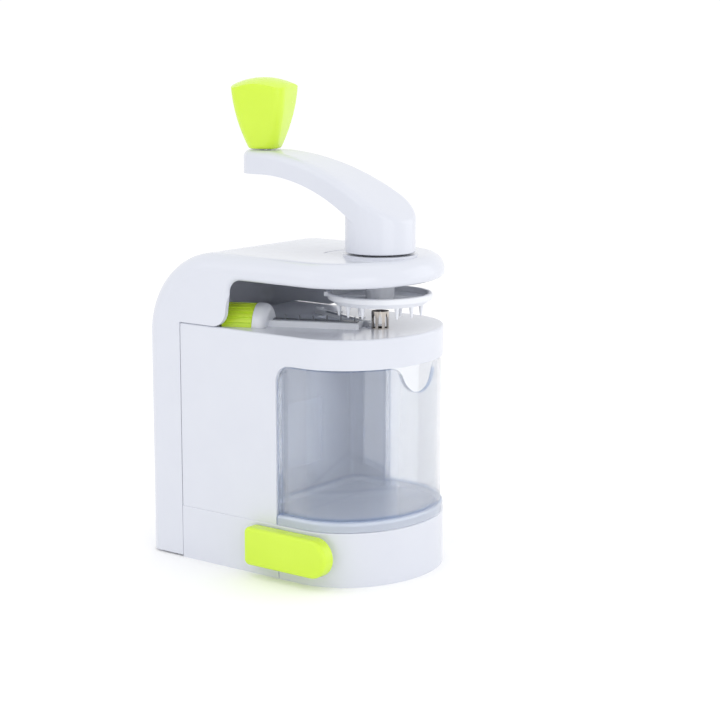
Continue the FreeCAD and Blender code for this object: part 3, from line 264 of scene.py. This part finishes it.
# Painted shade: inside the bore radius the corer is coloured near-black 231F1C instead of the streaked wall.
corer_colour = add_node(corer_tree, "ShaderNodeMix", [(MIX_FIRST, linear("231F1C"))],
                        [(MIX_SHARE, outside.outputs[0]), (MIX_SECOND, wall_colour.outputs[MIX_COLOUR])],
                        data_type="RGBA")
corer_gloss = add_node(corer_tree, "ShaderNodeMapRange", [("To Min", 0.45), ("To Max", 0.13)],
                       [("Value", outside.outputs[0])])
corer_shader = add_node(corer_tree, "ShaderNodeBsdfPrincipled", [("Metallic", 1.0)],
                        [("Base Color", corer_colour.outputs[MIX_COLOUR]),
                         ("Roughness", corer_gloss.outputs[0])])
finish_material(corer_tree, corer_shader)

SLOT_FINISH = {
    "white_abs": gloss_white,
    "lime_abs": lime_abs,
    "natural_acetal": acetal,
    "clear_styrene": styrene,
    "blade_steel": blade_steel,
    "zinc_steel": zinc_steel,
    "grey_rubber": rubber,
}
SATIN_NODES = ("blade_drum", "drum_flange", "blade_holder", "food_holder", "guide_channel", "bottom_plate")

NODE_FINISH = {node: satin_white for node in SATIN_NODES}
NODE_FINISH["corer"] = corer_steel
for node in ("comb_coarse", "comb_medium", "comb_fine"):
    NODE_FINISH[node] = comb_steel

for part in frame["record"]["subparts"]:
    finish = NODE_FINISH.get(part["node"], SLOT_FINISH[part["material_slot"]])
    for material_slot in nodes[part["node"]].material_slots:
        material_slot.material = finish

bpy.ops.object.select_all(action="DESELECT")


# ---------- modelling helpers ----------
def start_piece(name):
    """Names the primitive that was just added and opens it for editing."""
    piece = bpy.context.object
    piece.name = name
    bpy.ops.object.mode_set(mode="EDIT")
    return piece


def pick(kind, wanted):
    """Selects the vertices, edges or faces that pass the test."""
    bpy.ops.mesh.select_mode(type={"verts": "VERT", "edges": "EDGE", "faces": "FACE"}[kind])
    bpy.ops.mesh.select_all(action="DESELECT")
    mesh = bmesh.from_edit_mesh(bpy.context.object.data)
    for item in getattr(mesh, kind):
        if wanted(item):
            item.select_set(True)
    bmesh.update_edit_mesh(bpy.context.object.data)


def middle(edge):
    return (edge.verts[0].co + edge.verts[1].co) / 2


def apply_modifier(piece, kind, **settings):
    modifier = piece.modifiers.new(kind.lower(), kind)
    for name, value in settings.items():
        setattr(modifier, name, value)
    bpy.ops.object.modifier_apply(modifier=modifier.name)


def finish_piece(piece, body, finish, replaced=(), smooth_angle=35):
    """Closes the piece, puts its place into its mesh and hands it to its body."""
    bpy.ops.object.mode_set(mode="OBJECT")
    bpy.ops.object.transform_apply(location=True, rotation=True, scale=True)
    bpy.ops.object.shade_smooth_by_angle(angle=math.radians(smooth_angle))
    piece.data.materials.clear()
    piece.data.materials.append(finish)
    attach(piece, body)
    if replaced:
        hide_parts(*replaced)
    bpy.ops.object.select_all(action="DESELECT")


# ---------- crank grip ----------
GRIP_X = -30.0
GRIP_FOOT = 213.2
GRIP_SPLIT = 244.8
GRIP_TOP = 250.0
GRIP_BLOCK_TOP = 253.0
GRIP_DOME_R = 37.0
GRIP_TURN = 21.0
GRIP_FOOT_WIDTH = 15.6
GRIP_FLARE = 24.2               # how fast the sides open at the foot
GRIP_BOW = 10.2                 # how much of that they lose again at the top
GRIP_WIDTH = GRIP_FOOT_WIDTH + GRIP_FLARE - GRIP_BOW
GRIP_CORNER = 5.4
GRIP_EDGE = 1.0
GRIP_RINGS = 12
BALL_SIDES = 192


def grip_width(share):
    """Width of the grip at a share of the height of its body."""
    return GRIP_FOOT_WIDTH + GRIP_FLARE * share - GRIP_BOW * share * share


def make_grip():
    """Tapered body under a domed top: rings cut across a block are narrowed towards the foot, the corners
    are rounded, and a wide ball trims the top."""
    centre = (GRIP_X * MM, 0, (GRIP_FOOT + GRIP_BLOCK_TOP) / 2 * MM)
    bpy.ops.mesh.primitive_cube_add(size=1.0, location=centre)
    bpy.context.object.scale = (GRIP_WIDTH * MM, GRIP_WIDTH * MM, (GRIP_BLOCK_TOP - GRIP_FOOT) * MM)
    bpy.ops.object.transform_apply(location=True, rotation=False, scale=True)
    piece = start_piece("crank_grip")
    tall = GRIP_SPLIT - GRIP_FOOT
    for i in range(1, GRIP_RINGS + 1):
        height = (GRIP_FOOT + tall * i / GRIP_RINGS) * MM
        bpy.ops.mesh.select_all(action="SELECT")
        bpy.ops.mesh.bisect(plane_co=(GRIP_X * MM, 0, height), plane_no=(0, 0, 1))
    for i in range(GRIP_RINGS):
        height = (GRIP_FOOT + tall * i / GRIP_RINGS) * MM
        narrow = grip_width(i / GRIP_RINGS) / GRIP_WIDTH
        pick("verts", lambda v: abs(v.co.z - height) < 0.05 * MM)
        bpy.ops.transform.resize(value=(narrow, narrow, 1), center_override=(GRIP_X * MM, 0, 0))
    pick("edges", lambda e: abs(e.verts[0].co.z - e.verts[1].co.z) > 0.1 * MM)
    bpy.ops.mesh.bevel(offset=GRIP_CORNER * MM, segments=10, affect="EDGES")
    pick("edges", lambda e: max(v.co.z for v in e.verts) < (GRIP_FOOT + 0.01) * MM)
    bpy.ops.mesh.bevel(offset=GRIP_EDGE * MM, segments=4, affect="EDGES")
    pick("verts", lambda v: True)
    bpy.ops.transform.rotate(value=math.radians(-GRIP_TURN), orient_axis="Z",
                             center_override=(GRIP_X * MM, 0, GRIP_FOOT * MM))
    bpy.ops.object.mode_set(mode="OBJECT")
    bpy.ops.object.select_all(action="DESELECT")
    bpy.ops.mesh.primitive_uv_sphere_add(segments=BALL_SIDES, ring_count=BALL_SIDES, radius=GRIP_DOME_R * MM,
                                         location=(GRIP_X * MM, 0, (GRIP_TOP - GRIP_DOME_R) * MM))
    ball = bpy.context.object
    bpy.ops.object.select_all(action="DESELECT")
    bpy.context.view_layer.objects.active = piece
    piece.select_set(True)
    apply_modifier(piece, "BOOLEAN", operation="INTERSECT", object=ball)
    apply_modifier(piece, "BEVEL", width=GRIP_EDGE * MM, segments=5, angle_limit=math.radians(50))
    bpy.data.objects.remove(ball)
    finish_piece(piece, "grip", lime_abs, ["knob", "knob_cap"])


# ---------- suction lever ----------
LEVER_TAIL = 1.0
LEVER_TIP = 53.5
LEVER_LOW = 6.3
LEVER_HIGH = 26.3
LEVER_INNER = -49.3
LEVER_OUTER = -56.5
LEVER_PIVOT_R = 9.95
LEVER_TAIL_R = 3.0
LEVER_FACE_INSET = 2.4
LEVER_CROWN_R = 1.9


def make_lever():
    """Thumb lever: a slab rounded at the pivot end, with soft corners at the tail and a crowned edge."""
    centre = ((LEVER_TAIL + LEVER_TIP) / 2 * MM, (LEVER_INNER + LEVER_OUTER) / 2 * MM,
              (LEVER_LOW + LEVER_HIGH) / 2 * MM)
    bpy.ops.mesh.primitive_cube_add(size=1.0, location=centre)
    bpy.context.object.scale = ((LEVER_TIP - LEVER_TAIL) * MM, (LEVER_INNER - LEVER_OUTER) * MM,
                                (LEVER_HIGH - LEVER_LOW) * MM)
    bpy.ops.object.transform_apply(location=True, rotation=False, scale=True)
    piece = start_piece("thumb_lever")
    pick("edges", lambda e: abs(e.verts[0].co.y - e.verts[1].co.y) > 1 * MM and middle(e).x > 50 * MM)
    bpy.ops.mesh.bevel(offset=LEVER_PIVOT_R * MM, segments=20, affect="EDGES")
    pick("edges", lambda e: abs(e.verts[0].co.y - e.verts[1].co.y) > 1 * MM and middle(e).x < 2 * MM)
    bpy.ops.mesh.bevel(offset=LEVER_TAIL_R * MM, segments=8, affect="EDGES")
    pick("faces", lambda f: f.normal.y < -0.9)
    bpy.ops.mesh.inset(thickness=LEVER_FACE_INSET * MM)
    pick("edges", lambda e: max(v.co.y for v in e.verts) < (LEVER_OUTER + 0.01) * MM
         and len(e.link_faces) == 2 and abs(e.link_faces[0].normal.y - e.link_faces[1].normal.y) > 0.5)
    bpy.ops.mesh.bevel(offset=LEVER_CROWN_R * MM, segments=6, affect="EDGES")
    finish_piece(piece, "lever", lime_abs, ["suction_lever"])


# ---------- selector dial ----------
DRUM_Z = 123.0
DRUM_TURN = math.radians(24)
DRUM_AXIS = Vector((-math.cos(DRUM_TURN), -math.sin(DRUM_TURN), 0))
DIAL_FROM = 64.5
DIAL_TO = 80.5
DIAL_R = 12.98
DIAL_RIBS = 26
DIAL_EDGE_R = 0.5
DIAL_RIB_SIDE = 0.12
DIAL_GROOVE = 0.75
DIAL_RIM = 2.2
DIAL_STEP = 0.4
DIAL_HOLLOW = 0.5


def make_dial():
    """Ribbed dial: every other group of faces round a cylinder is inset and sunk between the ribs."""
    centre = Vector((CRANK_X, 0, DRUM_Z)) + DRUM_AXIS * (DIAL_FROM + DIAL_TO) / 2
    turn = DRUM_AXIS.to_track_quat("Z", "Y").to_euler()
    sides = DIAL_RIBS * 4
    bpy.ops.mesh.primitive_cylinder_add(vertices=sides, radius=DIAL_R * MM, depth=(DIAL_TO - DIAL_FROM) * MM,
                                        location=centre * MM, rotation=turn)
    piece = start_piece("ribbed_dial")

    def sunk(face):
        middle_of_face = face.calc_center_median()
        angle = math.atan2(middle_of_face.y, middle_of_face.x) % (2 * math.pi)
        return abs(face.normal.z) < 0.1 and int(angle / (2 * math.pi) * sides) % 4 < 2

    pick("edges", lambda e: len(e.link_faces) == 2
         and abs(e.link_faces[0].normal.z - e.link_faces[1].normal.z) > 0.5)
    bpy.ops.mesh.bevel(offset=DIAL_EDGE_R * MM, segments=3, affect="EDGES")
    pick("faces", sunk)
    bpy.ops.mesh.inset(thickness=DIAL_RIB_SIDE * MM, use_boundary=True)
    bpy.ops.transform.shrink_fatten(value=-DIAL_GROOVE * MM)
    pick("faces", lambda f: abs(f.normal.z) > 0.9 and f.calc_area() > 100 * MM * MM)
    bpy.ops.mesh.inset(thickness=DIAL_RIM * MM)
    bpy.ops.mesh.inset(thickness=DIAL_STEP * MM, depth=-DIAL_HOLLOW * MM)
    finish_piece(piece, "drum", lime_abs, ["selector_dial"], smooth_angle=25)


make_grip()
make_lever()
make_dial()

# ---------- floor, lights and camera ----------
FLOOR_SIZE = 6.0
PAPER_GRAIN = 400.0             # bumps of the paper in one metre

bpy.ops.mesh.primitive_plane_add(size=FLOOR_SIZE, location=(0, 0, 0))
floor = bpy.context.object
floor.name = "floor"
floor_material, floor_tree = new_material("matt_white_paper")
paper_place = add_node(floor_tree, "ShaderNodeTexCoord")
paper_grain = add_node(floor_tree, "ShaderNodeTexNoise", [("Scale", PAPER_GRAIN)],
                       [("Vector", paper_place.outputs["Object"])])
paper_colour = add_node(floor_tree, "ShaderNodeMix",
                        [(MIX_FIRST, linear("FFFFFF")), (MIX_SECOND, linear("FDFDFE"))],
                        [(MIX_SHARE, paper_grain.outputs["Fac"])], data_type="RGBA")
paper = add_node(floor_tree, "ShaderNodeBsdfPrincipled", [("Roughness", 0.9)],
                 [("Base Color", paper_colour.outputs[MIX_COLOUR])])
finish_material(floor_tree, paper)
floor.data.materials.append(floor_material)


def soft_box(name, place, aim, width, height, watts):
    """A rectangular studio light that faces its aim."""
    bpy.ops.object.light_add(type="AREA", location=place)
    light = bpy.context.object
    light.name = name
    light.data.shape = "RECTANGLE"
    light.data.size = width
    light.data.size_y = height
    light.data.energy = watts
    light.rotation_euler = (Vector(aim) - Vector(place)).to_track_quat("-Z", "Y").to_euler()


MIDDLE = (0.0, 0.0, 0.12)
soft_box("key_light", (-0.55, -0.95, 0.75), MIDDLE, 0.9, 0.9, 1.0)
soft_box("fill_light", (1.1, -0.55, 0.3), MIDDLE, 0.8, 0.6, 1.6)
soft_box("top_light", (0.0, 0.1, 1.2), MIDDLE, 1.1, 1.1, 0.8)
soft_box("rear_light", (0.75, 0.95, 0.45), MIDDLE, 0.9, 0.9, 1.6)

world = bpy.data.worlds.new("studio")
world.use_nodes = True
backdrop = world.node_tree.nodes["Background"]
backdrop.inputs["Color"].default_value = linear("FFFFFF")
backdrop.inputs["Strength"].default_value = 1.04
bpy.context.scene.world = world
bpy.context.scene.view_settings.view_transform = "Standard"

CAMERA_PLACE = (0.6183, -0.7636, 0.2833)
CAMERA_AZIMUTH = 37.49
CAMERA_PITCH = 10.35
CAMERA_LENS = 95.3
CAMERA_SENSOR = 36.0
CAMERA_REACH = 20.0
bpy.ops.object.camera_add(location=CAMERA_PLACE)
camera = bpy.context.object
camera.name = "camera"
camera.data.lens = CAMERA_LENS
camera.data.sensor_width = CAMERA_SENSOR
camera.data.clip_end = CAMERA_REACH
camera.rotation_euler = (math.radians(90 - CAMERA_PITCH), 0, math.radians(CAMERA_AZIMUTH))
bpy.context.scene.camera = camera
